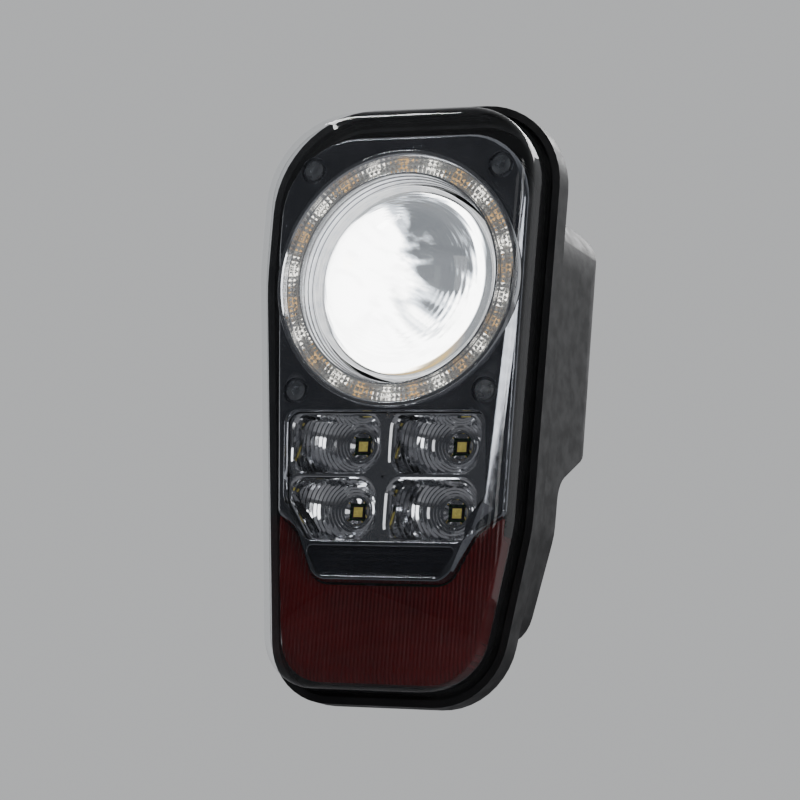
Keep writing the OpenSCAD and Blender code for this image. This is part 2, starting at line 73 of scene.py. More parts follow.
# %% [markdown]
# The camera comes first. The lamp is seen from a little to its right and from below its
# axis, through a long lens, so its outline is hardly distorted. The lamp leans back, which
# is why the camera's upward direction leans too, and the view shows it slightly turned.

# %% Camera
AZIMUTH, ELEVATION, LEAN = (math.radians(a) for a in (25, -10, 10.7))
VIEW_DISTANCE, VIEW_WIDTH = 1.3, 0.3174603  # metres to the halo, and metres in view there
AIM_BELOW, AIM_RIGHT, SENSOR = 0.0488, 0.0018, 36
halo_low, halo_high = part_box("halo_trim")
axis_z = (halo_low[2] + halo_high[2]) / 2
halo_front = Vector((0, halo_low[1], axis_z))
towards_camera = Vector((math.sin(AZIMUTH) * math.cos(ELEVATION),
                         -math.cos(AZIMUTH) * math.cos(ELEVATION), math.sin(ELEVATION)))
right = Vector((0, -math.sin(LEAN), math.cos(LEAN))).cross(towards_camera).normalized()
up = towards_camera.cross(right)
aim = halo_front - up * AIM_BELOW + right * AIM_RIGHT
camera_data = bpy.data.cameras.new("camera")
camera_data.sensor_width = SENSOR
camera_data.lens = SENSOR * VIEW_DISTANCE / VIEW_WIDTH
camera_data.clip_start = 0.01
camera = bpy.data.objects.new("camera", camera_data)
bpy.context.scene.collection.objects.link(camera)
camera.matrix_world = (Matrix.Translation(aim + towards_camera * VIEW_DISTANCE)
                       @ Matrix((right, up, towards_camera)).transposed().to_4x4())
bpy.context.scene.camera = camera
print("camera lens in mm:", round(camera_data.lens, 1))

# %% [markdown]
# Chrome shows what stands round it, so the studio matters as much as the metal. The
# room that lights the lamp is pale behind it and dark in front, so the chrome has
# something dark to mirror, and four soft lamps draw the highlights on it. The wall and
# the floor that the eye sees are plain and pale from every side. What the lamp mirrors of
# the floor is darker, which keeps a grey veil off the red plastic.

# %% Studio
def soft_light(name, place, size, watts):
    data = bpy.data.lights.new(name, "AREA")
    data.shape = "RECTANGLE"
    data.size, data.size_y = size
    data.energy = watts
    lamp = bpy.data.objects.new(name, data)
    bpy.context.scene.collection.objects.link(lamp)
    lamp.location = place
    lamp.rotation_euler = Vector(place).to_track_quat("Z", "Y").to_euler()


soft_light("key", (-0.95, -0.4, 1.7), (0.3, 0.6), 17)
soft_light("fill", (1.5, -0.9, 0.5), (0.5, 1.2), 7)
soft_light("edge", (0.93, -1.42, 0.3), (0.2, 0.7), 0.55)
soft_light("back", (0.4, 1.4, 1.1), (1.2, 0.5), 14)

BACKDROP = (0.7, 0.71, 0.72, 1)
world = bpy.data.worlds.new("sky")
bpy.context.scene.world = world
world.use_nodes = True
sky_tree = world.node_tree
sky = sky_tree.nodes["Background"]
direction = sky_tree.nodes.new("ShaderNodeTexCoord").outputs["Generated"]
depth = sky_tree.nodes.new("ShaderNodeSeparateXYZ")
shade = sky_tree.nodes.new("ShaderNodeValToRGB")
shade.color_ramp.elements[0].position = 0.0
shade.color_ramp.elements[0].color = (0.05, 0.052, 0.058, 1)
shade.color_ramp.elements[1].position = 0.75
shade.color_ramp.elements[1].color = (0.8, 0.81, 0.83, 1)
sky_tree.links.new(direction, depth.inputs["Vector"])
sky_tree.links.new(depth.outputs["Y"], shade.inputs["Fac"])
seen = sky_tree.nodes.new("ShaderNodeMix")
seen.data_type = "RGBA"
seen.inputs["B"].default_value = BACKDROP
sky_tree.links.new(sky_tree.nodes.new("ShaderNodeLightPath").outputs["Is Camera Ray"],
                   seen.inputs["Factor"])
sky_tree.links.new(shade.outputs["Color"], seen.inputs["A"])
sky_tree.links.new(seen.outputs["Result"], sky.inputs["Color"])
sky.inputs["Strength"].default_value = 0.75

FLOOR_DROP, FLOOR_HALF = 0.22, 6
FLOOR_SEEN, FLOOR_MIRRORED = (0.8, 0.8, 0.8, 1), (0.22, 0.22, 0.23, 1)
floor_bm = bmesh.new()
bmesh.ops.create_grid(floor_bm, x_segments=2, y_segments=2, size=FLOOR_HALF)
bmesh.ops.translate(floor_bm, verts=floor_bm.verts, vec=(0, 0, cad_box[0][2] - FLOOR_DROP))
floor_mesh = bpy.data.meshes.new("floor")
floor_bm.to_mesh(floor_mesh)
floor_bm.free()
floor = bpy.data.objects.new("floor", floor_mesh)
bpy.context.scene.collection.objects.link(floor)
floor_paint = bpy.data.materials.new("floor_paint")
floor_paint.use_nodes = True
floor_tree = floor_paint.node_tree
floor_shade = floor_tree.nodes.new("ShaderNodeMix")
floor_shade.data_type = "RGBA"
floor_shade.inputs["A"].default_value = FLOOR_MIRRORED
floor_shade.inputs["B"].default_value = FLOOR_SEEN
floor_tree.links.new(floor_tree.nodes.new("ShaderNodeLightPath").outputs["Is Camera Ray"],
                     floor_shade.inputs["Factor"])
floor_shader = floor_tree.nodes["Principled BSDF"]
floor_tree.links.new(floor_shade.outputs["Result"], floor_shader.inputs["Base Color"])
floor_shader.inputs["Roughness"].default_value = 0.7
floor_mesh.materials.append(floor_paint)
print("floor at", round(cad_box[0][2] - FLOOR_DROP, 3))

# %% [markdown]
# ## Finishes
# Every finish is a small graph of nodes. The same few moves come back in all of them:
# place a pattern on the Object coordinates, turn it into a number between two limits,
# and feed that to the colour, the roughness or the bump. A few helpers say them in one
# line each.

# %% Helpers for finishes
def finish(name):
    """A new material, and its graph with the principled shader in it."""
    material = bpy.data.materials.new(name)
    material.use_nodes = True
    return material, material.node_tree, material.node_tree.nodes["Principled BSDF"]


def step(tree, kind, settings=None, **values):
    """Adds a node. Values are set on its sockets, or linked where they are sockets.

    A socket is given by its name, with _ for a space, or by its number, as in0, in1.
    """
    node = tree.nodes.new(kind)
    for key, value in (settings or {}).items():
        setattr(node, key, value)
    for key, value in values.items():
        by_number = key.startswith("in")
        socket = node.inputs[int(key[2:]) if by_number else key.replace("_", " ")]
        if isinstance(value, bpy.types.NodeSocket):
            tree.links.new(value, socket)
        else:
            socket.default_value = value
    return node


def noise(tree, per_metre, detail=3.0, stretch=(1, 1, 1)):
    """A cloudy number from about 0.3 to 0.7, with so many clouds in a metre."""
    place = step(tree, "ShaderNodeTexCoord").outputs["Object"]
    scaled = step(tree, "ShaderNodeMapping", Vector=place, Scale=stretch).outputs["Vector"]
    return step(tree, "ShaderNodeTexNoise", Vector=scaled, Scale=per_metre,
                Detail=detail).outputs["Fac"]


def between(tree, factor, low, high, start=0.35, end=0.65):
    """Turns a factor that runs from start to end into a number from low to high."""
    return step(tree, "ShaderNodeMapRange", in0=factor, in1=start, in2=end, in3=low,
                in4=high).outputs[0]


def along(tree, place, start, end, low=0.0, high=1.0, smooth=False):
    """A number that goes from low, at a place of start mm, to high, at end mm."""
    kind = "SMOOTHSTEP" if smooth else "LINEAR"
    return step(tree, "ShaderNodeMapRange", {"interpolation_type": kind}, in0=place,
                in1=start * MM, in2=end * MM, in3=low, in4=high).outputs[0]


def math_of(tree, operation, *values):
    """A Math node: the values are numbers or sockets."""
    return step(tree, "ShaderNodeMath", {"operation": operation},
                **{f"in{n}": value for n, value in enumerate(values)}).outputs[0]


def tint(tree, factor, dark, light):
    """A colour between two, by a factor."""
    ramp = step(tree, "ShaderNodeValToRGB", in0=factor)
    ramp.color_ramp.elements[0].color = (*dark, 1)
    ramp.color_ramp.elements[0].position = 0.3
    ramp.color_ramp.elements[1].color = (*light, 1)
    ramp.color_ramp.elements[1].position = 0.7
    return ramp.outputs["Color"]


def bump(tree, height, depth_mm, strength=0.5):
    return step(tree, "ShaderNodeBump", Height=height, Distance=depth_mm * MM,
                Strength=strength).outputs["Normal"]


def wire(tree, value, socket):
    tree.links.new(value, socket)


print("helpers ready")

# %% [markdown]
# The chromed pieces are plastic with a thin layer of aluminium under lacquer. The layer
# follows every ripple of the moulding, so its highlights wobble slightly, and dust makes
# it duller here and there. The bezel's layer is darker; the optical pieces are bright.

# %% Chrome finishes
def chrome(name, dark, light, dull):
    material, tree, shader = finish(name)
    shader.inputs["Metallic"].default_value = 1
    wire(tree, tint(tree, noise(tree, 90, 4), dark, light), shader.inputs["Base Color"])
    wire(tree, between(tree, noise(tree, 260, 5), dull * 0.5, dull * 1.6),
         shader.inputs["Roughness"])
    wire(tree, bump(tree, noise(tree, 420, 2), 0.03, 0.25), shader.inputs["Normal"])
    return material


bright_chrome = chrome("bright_chrome", (0.78, 0.79, 0.81), (0.93, 0.93, 0.94), 0.07)
bezel_chrome = chrome("bezel_chrome", (0.30, 0.31, 0.34), (0.42, 0.43, 0.46), 0.12)
print("chrome:", bright_chrome.name, bezel_chrome.name)

# %% [markdown]
# Opaque plastics and rubbers differ in colour, in gloss and in how coarse their moulded
# grain is, so one function makes them all from those numbers.

# %% Plastic and rubber finishes
def moulded(name, dark, light, rough, grain_mm, depth_mm, coat=0.0):
    material, tree, shader = finish(name)
    wire(tree, tint(tree, noise(tree, 35, 5), dark, light), shader.inputs["Base Color"])
    wire(tree, between(tree, noise(tree, 150, 4), rough - 0.08, rough + 0.1),
         shader.inputs["Roughness"])
    wire(tree, bump(tree, noise(tree, 1 / (grain_mm * MM), 2), depth_mm, 0.6),
         shader.inputs["Normal"])
    shader.inputs["Coat Weight"].default_value = coat
    return material


FINISHES = {
    "black_plastic": moulded("black_plastic", (0.014, 0.014, 0.015), (0.022, 0.022, 0.023),
                             0.45, 0.35, 0.05),
    "seal_rubber": moulded("seal_rubber", (0.015, 0.015, 0.015), (0.035, 0.035, 0.034),
                           0.75, 0.6, 0.06),
    "silicone": moulded("silicone", (0.42, 0.12, 0.03), (0.6, 0.2, 0.05), 0.5, 0.8, 0.03),
    "chip_black": moulded("chip_black", (0.02, 0.02, 0.02), (0.05, 0.05, 0.05), 0.5, 0.2, 0.02),
    "glass_nylon": moulded("glass_nylon", (0.06, 0.06, 0.065), (0.14, 0.14, 0.15), 0.5, 0.5,
                           0.06),
    "natural_acetal": moulded("natural_acetal", (0.72, 0.7, 0.6), (0.86, 0.84, 0.75), 0.35,
                              0.9, 0.02),
    "board_white": moulded("board_white", (0.72, 0.72, 0.7), (0.86, 0.86, 0.84), 0.3, 0.5,
                           0.02, 0.3),
    "red_led": moulded("red_led", (0.3, 0.01, 0.01), (0.5, 0.03, 0.02), 0.3, 0.3, 0.02, 0.4),
}
print("moulded finishes:", ", ".join(FINISHES))

# %% [markdown]
# Metal parts: turned and cold-headed steel has fine streaks, which are noise stretched
# along one way; shot-blasted castings have an even pitted skin; pins are gold-flashed.

# %% Metal finishes
def metal(name, dark, light, rough, per_metre, depth_mm, stretch=(1, 1, 1)):
    material, tree, shader = finish(name)
    shader.inputs["Metallic"].default_value = 1
    wire(tree, tint(tree, noise(tree, 60, 5), dark, light), shader.inputs["Base Color"])
    wire(tree, between(tree, noise(tree, 300, 4, stretch), rough - 0.08, rough + 0.12),
         shader.inputs["Roughness"])
    wire(tree, bump(tree, noise(tree, per_metre, 3, stretch), depth_mm, 0.5),
         shader.inputs["Normal"])
    return material


FINISHES["zinc_steel"] = metal("zinc_steel", (0.5, 0.52, 0.55), (0.72, 0.73, 0.74), 0.28,
                               1500, 0.02, (1, 0.1, 1))
FINISHES["cast_aluminium"] = metal("cast_aluminium", (0.4, 0.41, 0.42), (0.58, 0.58, 0.59),
                                   0.45, 1800, 0.06)
FINISHES["blackened_steel"] = metal("blackened_steel", (0.05, 0.05, 0.055),
                                    (0.12, 0.12, 0.13), 0.4, 1200, 0.03)
FINISHES["pin_brass"] = metal("pin_brass", (0.7, 0.5, 0.2), (0.9, 0.72, 0.36), 0.22, 1500,
                              0.01, (1, 0.1, 1))
FINISHES["bezel_chrome"] = bezel_chrome
FINISHES["bright_chrome"] = bright_chrome
print("finishes so far:", len(FINISHES))

# %% [markdown]
# A circuit board is green lacquer over copper tracks. A brick pattern of long thin
# bricks stands for the runs of track, which lift the lacquer a little and make it paler.

# %% Circuit board finish
def circuit_board():
    material, tree, shader = finish("board_green")
    place = step(tree, "ShaderNodeTexCoord").outputs["Object"]
    turned_flat = step(tree, "ShaderNodeMapping", Vector=place,
                       Rotation=(math.radians(90), 0, 0)).outputs["Vector"]
    tracks = step(tree, "ShaderNodeTexBrick", {"offset": 0.37}, Vector=turned_flat,
                  Scale=220.0, Mortar_Size=0.06, Brick_Width=2.6, Row_Height=0.35,
                  Color1=(0.01, 0.09, 0.03, 1), Color2=(0.012, 0.11, 0.04, 1),
                  Mortar=(0.05, 0.22, 0.08, 1))
    wire(tree, tracks.outputs["Color"], shader.inputs["Base Color"])
    wire(tree, between(tree, noise(tree, 200), 0.2, 0.35), shader.inputs["Roughness"])
    wire(tree, bump(tree, tracks.outputs["Fac"], 0.04, 0.6), shader.inputs["Normal"])
    return material


FINISHES["board_green"] = circuit_board()
print("board finish made")

# %% [markdown]
# Glass and clear plastic. The thick projector lens has to bend what is seen through it,
# so it is true refracting glass. The cover is a thin shell: straight-through transparency
# mixed with gloss by Fresnel's law looks the same and lets the light inside stay crisp.
# The gloss is only on faces that look at the eye: light does not bend in this shell, so
# the law would wrongly make the far side of the wall a mirror. Hair-fine wipe marks show
# only in the gloss.

# %% Clear finishes
def refracting(name, colour, index, rough, glow=0.0):
    material, tree, shader = finish(name)
    wire(tree, tint(tree, noise(tree, 350, 3), (0.55, 0.57, 0.6), (1, 0.99, 0.96)),
         shader.inputs["Emission Color"])
    shader.inputs["Emission Strength"].default_value = glow
    shader.inputs["Base Color"].default_value = (*colour, 1)
    shader.inputs["Transmission Weight"].default_value = 1
    shader.inputs["IOR"].default_value = index
    wire(tree, between(tree, noise(tree, 180, 4), rough * 0.4, rough * 1.6),
         shader.inputs["Roughness"])
    wire(tree, bump(tree, noise(tree, 240, 2), 0.02, 0.15), shader.inputs["Normal"])
    return material


def thin_clear(name, colour, index, rough, body_colour, cloud):
    """Clear skin: see-through, with gloss by Fresnel and a share of solid colour."""
    material, tree, shader = finish(name)
    tree.nodes.remove(shader)
    through = step(tree, "ShaderNodeBsdfTransparent", Color=(*colour, 1))
    haze = step(tree, "ShaderNodeBsdfDiffuse",
                Color=tint(tree, noise(tree, 70, 5), [c * 0.7 for c in body_colour],
                           body_colour))
    wipes = bump(tree, noise(tree, 500, 3, (1, 1, 0.15)), 0.01, 0.2)
    gloss = step(tree, "ShaderNodeBsdfGlossy", Color=(1, 1, 1, 1), Normal=wipes,
                 Roughness=between(tree, noise(tree, 120, 4), rough * 0.5, rough * 1.8))
    body = step(tree, "ShaderNodeMixShader", in0=cloud, in1=through.outputs[0],
                in2=haze.outputs[0])
    outside = math_of(tree, "SUBTRACT", 1.0,
                      step(tree, "ShaderNodeNewGeometry").outputs["Backfacing"])
    share = math_of(tree, "MULTIPLY", step(tree, "ShaderNodeFresnel", IOR=index).outputs[0],
                    outside)
    mixed = step(tree, "ShaderNodeMixShader", in0=share, in1=body.outputs[0],
                 in2=gloss.outputs[0])
    wire(tree, mixed.outputs[0], tree.nodes["Material Output"].inputs["Surface"])
    return material


FINISHES["lamp_glass"] = refracting("lamp_glass", (0.97, 0.99, 1.0), 1.5, 0.01)
FINISHES["prism_plastic"] = refracting("prism_plastic", (0.97, 0.98, 1.0), 1.49, 0.03, 0.04)
FINISHES["clear_cover"] = thin_clear("clear_cover", (0.985, 0.99, 0.995), 1.36, 0.03,
                                     (0.8, 0.82, 0.85), 0.012)
FINISHES["smoked_plastic"] = thin_clear("smoked_plastic", (0.3, 0.33, 0.42), 1.55, 0.05,
                                        (0.035, 0.042, 0.06), 0.5)
FINISHES["red_plastic"] = thin_clear("red_plastic", (0.4, 0.006, 0.006), 1.28, 0.14,
                                     (0.26, 0.004, 0.005), 0.6)
print("clear finishes made")

# %% [markdown]
# The lit chips. A phosphor is a yellow gel that glows pale where the chip under it is
# bright, and its glow has slightly uneven patches. The main chip is far brighter.

# %% Glowing finishes
def glowing(name, dark, light, glow, strength):
    material, tree, shader = finish(name)
    patches = noise(tree, 900, 3)
    wire(tree, tint(tree, patches, dark, light), shader.inputs["Base Color"])
    wire(tree, tint(tree, patches, [c * 0.75 for c in glow], glow),
         shader.inputs["Emission Color"])
    wire(tree, bump(tree, patches, 0.05, 0.4), shader.inputs["Normal"])
    shader.inputs["Roughness"].default_value = 0.35
    shader.inputs["Emission Strength"].default_value = strength
    return material


FINISHES["white_led"] = glowing("white_led", (0.75, 0.72, 0.5), (0.95, 0.92, 0.75),
                                (1.0, 0.95, 0.85), 3.5)
FINISHES["amber_led"] = glowing("amber_led", (0.9, 0.3, 0.02), (1.0, 0.5, 0.05),
                                (1.0, 0.6, 0.2), 0.9)
FINISHES["phosphor"] = glowing("phosphor", (0.6, 0.48, 0.06), (0.8, 0.68, 0.14),
                               (1.0, 0.85, 0.25), 0.22)
FINISHES["main_chip"] = glowing("main_chip", (0.9, 0.85, 0.6), (1, 0.97, 0.85),
                                (1.0, 0.97, 0.92), 40)
slot_of = {s["node"]: s["material_slot"] for s in frame["record"]["subparts"]}
for node_name, node_object in nodes.items():
    node_object.data.materials.clear()
    node_object.data.materials.append(FINISHES[slot_of[node_name]])
print("every part of the frame has its finish:", len(nodes))

# %% [markdown]
# The ring and the funnel round the lens are chrome too. The lamp's own light, which would
# pour over them from one side, is painted on them as a soft glow that fades across the
# lamp, on top of what they mirror.

# %% Chrome with a painted glow
FLOOD_HALF = 40


def painted_glow_chrome(name, shade_side, lit_side):
    """Chrome with a painted glow, whose strength goes from one side of the lamp to the other.
    """
    material, tree, shader = finish(name)
    shader.inputs["Metallic"].default_value = 1
    place = step(tree, "ShaderNodeTexCoord").outputs["Object"]
    across = step(tree, "ShaderNodeSeparateXYZ", Vector=place).outputs["X"]
    # painted light: a glow, strong at the lamp's left and faint at its right, stands for the
    # lamp's light falling here
    glow = along(tree, across, FLOOD_HALF, -FLOOD_HALF, shade_side, lit_side, smooth=True)
    wire(tree, glow, shader.inputs["Emission Strength"])
    wire(tree, tint(tree, noise(tree, 240, 4), (0.6, 0.62, 0.65), (1, 0.99, 0.97)),
         shader.inputs["Emission Color"])
    wire(tree, tint(tree, noise(tree, 90, 4), (0.78, 0.79, 0.81), (0.93, 0.93, 0.94)),
         shader.inputs["Base Color"])
    wire(tree, between(tree, noise(tree, 260, 5), 0.1, 0.25), shader.inputs["Roughness"])
    return material


# painted glow: the lens ring and the funnel shine as if the lamp's own light fell on them
FINISHES["ring_chrome"] = painted_glow_chrome("ring_chrome", 0.9, 1.3)
FINISHES["funnel_chrome"] = painted_glow_chrome("funnel_chrome", 0.02, 0.12)
print("flooded chrome made")

# %% [markdown]
# ## Shapes
# A new piece starts as a bmesh in millimetres, in the lamp's own axes, because a maker
# thinks in millimetres. One helper scales it to metres, shades it so that only true
# corners look sharp, ties it to the body it moves with, gives it the finish of the part it
# stands for and, where it replaces that part, hides it.

# %% Helpers for pieces
def piece(name, bm, body, part, corner_degrees=32, look=None, replaces=True):
    """Makes an object of a bmesh drawn in millimetres, in the place of one CAD part."""
    bmesh.ops.scale(bm, vec=(MM, MM, MM), verts=bm.verts)
    for face in bm.faces:
        face.smooth = True
    for edge in bm.edges:
        edge.smooth = edge.calc_face_angle(0) < math.radians(corner_degrees)
    mesh = bpy.data.meshes.new(name)
    bm.to_mesh(mesh)
    bm.free()
    made = bpy.data.objects.new(name, mesh)
    bpy.context.scene.collection.objects.link(made)
    mesh.materials.append(FINISHES[look or slot_of[part]])
    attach(made, body)
    if replaces:
        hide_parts(part)
    print(f"{name}: {len(mesh.polygons)} faces")
    return made


def tidy(bm):
    """Joins points that meet, and turns every face outwards."""
    bmesh.ops.remove_doubles(bm, verts=bm.verts, dist=0.001)
    bmesh.ops.recalc_face_normals(bm, faces=bm.faces)
    return bm


def wrapped(around, across, place, bm=None):
    """A sheet of around x across faces, each point of which place() puts somewhere.

    The sheet starts as a flat grid. Where place() brings two edges together they join.
    """
    whole = bm is None
    bm = bm or bmesh.new()
    sheet = bmesh.ops.create_grid(bm, x_segments=around, y_segments=across, size=1)
    for v in sheet["verts"]:
        v.co = place(round((v.co.x + 1) / 2 * around), round((v.co.y + 1) / 2 * across))
    return tidy(bm) if whole else bm


print("piece helpers ready")

# %% [markdown]
# The cover, the bezel and its windows are drawn as outlines: a few corners, each with a
# radius. Moving an outline inwards keeps its walls parallel, which is how a real
# moulding gets an even wall, so the helpers can also draw an outline grown or shrunk.

# %% Outlines
def grown(corners, by):
    """The corners (x, z, radius) moved outwards, for an outline that runs clockwise."""
    moved = []
    for k, (x, z, radius) in enumerate(corners):
        before, after = corners[k - 1], corners[(k + 1) % len(corners)]
        a = Vector((x - before[0], z - before[1])).normalized()
        b = Vector((after[0] - x, after[1] - z)).normalized()
        p, q = Vector((-a.y, a.x)), Vector((-b.y, b.x))
        shift = (p + q) * (by / (1 + p.dot(q)))
        sign = 1 if a.x * b.y - a.y * b.x < 0 else -1
        moved.append((x + shift.x, z + shift.y, max(0.3, radius + by * sign)))
    return moved


def rounded(corners, steps=8):
    """Points (x, z) along the outline, with an arc of so many steps at each corner."""
    points = []
    for k, (x, z, radius) in enumerate(corners):
        corner = Vector((x, z))
        u = (Vector(corners[k - 1][:2]) - corner).normalized()
        v = (Vector(corners[(k + 1) % len(corners)][:2]) - corner).normalized()
        half = u.angle(v) / 2
        centre = corner + (u + v).normalized() * radius / math.sin(half)
        p = corner + u * radius / math.tan(half) - centre
        q = corner + v * radius / math.tan(half) - centre
        span = math.pi - 2 * half
        for n in range(steps + 1):
            t = n / steps
            points.append(centre + (p * math.sin((1 - t) * span) + q * math.sin(t * span))
                          / math.sin(span))
    return points


COVER = [(-60, 117, 38), (58, 117, 30), (56.5, -50, 60), (46, -117, 26), (-42, -117, 22),
         (-60, 50, 120)]
BEZEL = [(-55, 107, 32), (53, 107, 27), (52, -46, 4), (41, -53.5, 12), (31, -74, 9),
         (-27, -74, 9), (-36, -54, 12), (-45.3, -46.5, 4), (-54.8, 60, 100)]
POCKET = [(-45, -5.5, 5), (42, -5.5, 5), (44.5, -38, 8), (37, -57.7, 6), (-31.5, -57.7, 6),
          (-42.3, -41.5, 12)]
TRAY = [(-31.5, -59.7, 2), (34.5, -59.7, 2), (27.5, -71.5, 4), (-25, -71.5, 4)]
print("points round the cover:", len(rounded(COVER)))

# %% [markdown]
# ## The clear cover
# A real cover is injection moulded: straight walls, a rounded shoulder, and a gently
# crowned front that closes in on a line up the middle of the lamp. Here a sheet is
# wrapped along the outline, ring by ring, and then given its wall thickness.

# %% Clear cover
cover_low, cover_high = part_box("outer_lens")
WALL, SHOULDER, EDGE_Y, SIDE_Y = 2.5, 8.0, cover_high[1] / MM, -26.0
FRONT_Y, COVER_TOP = cover_low[1] / MM, COVER[0][1]
HALF_WIDTH, LINE_FROM_TOP, LINE_FROM_FOOT = 57, 58, 45
SHOULDER_STEPS, CROWN_STEPS, SHOULDER_TURN = 8, 22, math.radians(70)
CROWN_START, CROWN_REACH = 0.1, 0.87


def cover_station(j):
    """How far in towards the middle line a ring is (0 to 1), and its depth y."""
    if j < 2:
        return (0.0, EDGE_Y) if j == 0 else (0.01, SIDE_Y)
    if j < 2 + SHOULDER_STEPS:
        turn = SHOULDER_TURN * (j - 1) / SHOULDER_STEPS
        inwards = SHOULDER * (1 - math.cos(turn)) / HALF_WIDTH
        return 0.01 + inwards, SIDE_Y - SHOULDER * math.sin(turn)
    share = CROWN_START + CROWN_REACH * (j - 1 - SHOULDER_STEPS) / CROWN_STEPS
    start = SIDE_Y - SHOULDER * math.sin(SHOULDER_TURN)
    return share, start + (FRONT_Y - start) * (1 - ((1 - share) / (1 - CROWN_START)) ** 2)


def cover_point(i, j):
    """A point of the outline, moved in towards the upright line up the lamp's middle."""
    x, z = cover_edge[i % len(cover_edge)]
    share, y = cover_station(j)
    middle = min(COVER_TOP - LINE_FROM_TOP, max(LINE_FROM_FOOT - COVER_TOP, z))
    return Vector((x * (1 - share) - share, y, z + (middle - z) * share))


cover_edge = rounded(COVER, 12)
cover_bm = wrapped(len(cover_edge), 1 + SHOULDER_STEPS + CROWN_STEPS, cover_point)
openings = [e for e in cover_bm.edges if e.is_boundary and e.verts[0].co.y < SIDE_Y]
bmesh.ops.contextual_create(cover_bm, geom=openings)
bmesh.ops.recalc_face_normals(cover_bm, faces=cover_bm.faces)
if sum(f.normal.y * f.calc_area() for f in cover_bm.faces) > 0:
    bmesh.ops.reverse_faces(cover_bm, faces=cover_bm.faces)
bmesh.ops.solidify(cover_bm, geom=cover_bm.faces[:], thickness=WALL)
piece("clear_cover", cover_bm, "housing", "outer_lens")

# %% [markdown]
# ## Turned pieces
# The halo's chrome lip, the stepped funnel and the lens ring are all bodies of
# revolution. A lathe makes them from one profile, and so does spin: draw the profile
# once, as radius and depth, and turn it round the lamp's axis. A narrow bevel breaks the
# edges, because a knife-sharp edge shows no highlight.

# %% Spin helper and the turned pieces
AXIS_Z = axis_z / MM


def spun(profile, steps=144, soften=0.0, closed=True, centre=(0, AXIS_Z), bm=None):
    """A profile of (radius, y) turned right round an axis at centre (x, z)."""
    whole = bm is None
    bm = bm or bmesh.new()
    x, z = centre
    verts = [bm.verts.new((x + r, y, z)) for r, y in profile]
    pairs = list(zip(verts, verts[1:] + verts[:1])) if closed else list(zip(verts, verts[1:]))
    edges = [bm.edges.new(pair) for pair in pairs]
    bmesh.ops.spin(bm, geom=verts + edges, cent=(x, 0, z), axis=(0, 1, 0),
                   angle=math.tau, steps=steps, use_merge=True)
    if whole:
        tidy(bm)
    if soften:
        corners = [e for e in bm.edges if e.calc_face_angle(0) > math.radians(35)]
        bmesh.ops.bevel(bm, geom=corners, offset=soften, affect="EDGES", segments=3,
                        profile=0.5, material=-1)
    return bm


lip_steps = [(50.0, -25.3), (50.7, -26.0), (52.0, -26.0), (52.5, -25.2), (52.5, -18.2),
             (49.95, -18.2), (49.95, -22.2), (50.25, -22.4), (50.0, -22.6), (50.0, -23.3),
             (50.3, -23.5), (50.05, -23.7), (50.05, -24.4), (50.35, -24.6), (50.05, -24.8)]
piece("halo_lip", spun(lip_steps, soften=0.06), "housing", "halo_trim")
funnel_steps = [(41.0, -16.0), (41.5, -16.0), (41.5, -19.0), (42.0, -19.0), (42.0, -22.0),
                (42.5, -22.0), (42.5, -25.0), (43.4, -25.0), (43.4, -22.4), (43.1, -22.4),
                (43.1, -12.4), (43.5, -12.4), (43.5, -10.0), (41.0, -10.0)]
piece("stepped_funnel", spun(funnel_steps, soften=0.15), "housing", "halo_funnel",
      look="funnel_chrome")
RING_INSIDE = 38.3
ring_steps = [(RING_INSIDE, -18.0), (RING_INSIDE + 0.35, -18.6), (38.95, -18.6), (39.4, -18.1),
              (39.4, -9.0), (RING_INSIDE, -9.0), (RING_INSIDE, -14.2),
              (RING_INSIDE + 0.15, -14.4), (RING_INSIDE, -14.6), (RING_INSIDE, -15.8),
              (RING_INSIDE + 0.15, -16.0), (RING_INSIDE, -16.2)]
piece("lens_ring", spun(ring_steps, soften=0.06), "projector", "lens_retainer",
      look="ring_chrome")

# %% [markdown]
# ## The jewelled ring
# The halo's light guide is covered in tiny prisms, three rows of them, which break the
# light into sparks. A ring is spun in coarse steps so that each face is one prism's
# base; each base is inset a hair, and poked outwards to a point. Flat faces stay flat
# here, because the sparkle is the whole point.

# %% Jewelled ring
PRISMS_ROUND, PRISM_HEIGHT, PRISM_GAP = 144, 0.75, 0.12
ROW_EDGES, JEWEL_FRONT, JEWEL_BACK = [43.65, 45.7, 47.75, 49.75], -21.6, -12.2
jewel_section = [(r, JEWEL_FRONT) for r in ROW_EDGES]
jewel_section += [(ROW_EDGES[-1], JEWEL_BACK), (ROW_EDGES[0], JEWEL_BACK)]
jewel_bm = spun(jewel_section, steps=PRISMS_ROUND)
bases = [f for f in jewel_bm.faces
         if f.normal.y < -0.9 and f.calc_center_median().y < JEWEL_FRONT + 0.5]
bmesh.ops.inset_individual(jewel_bm, faces=bases, thickness=PRISM_GAP, depth=0.0,
                           use_even_offset=True)
bmesh.ops.poke(jewel_bm, faces=bases, offset=PRISM_HEIGHT, center_mode="MEAN")
piece("jewelled_ring", jewel_bm, "housing", "halo_lens", corner_degrees=6)

# %% [markdown]
# ## The projector lens
# A thick glass dome, flat at the back, that fills its ring. Its curve is an arc, spun
# round the axis. The sphere follows from the dome's own radius and bulge, as an optician
# would work it out. A real one shows the turning marks of its mould near the edge: rings
# a few thousandths of a millimetre deep, which show as arcs because the glass magnifies.

# %% Projector lens
lens_low, lens_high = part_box("projector_lens")
lens_radius = RING_INSIDE - 0.05
lens_back, lens_tip = lens_high[1] / MM, lens_low[1] / MM
EDGE_THICKNESS = 1.9
bulge = lens_back - EDGE_THICKNESS - lens_tip
sphere = (lens_radius ** 2 + bulge ** 2) / (2 * bulge)
DOME_STEPS, MARK_PITCH, MARK_DEPTH, MARKS_FROM = 120, 1.7, 0.008, (20, 30)


def ramp(value, low, high):
    """0 below low, 1 above high, smooth between."""
    t = min(1, max(0, (value - low) / (high - low)))
    return t * t * (3 - 2 * t)


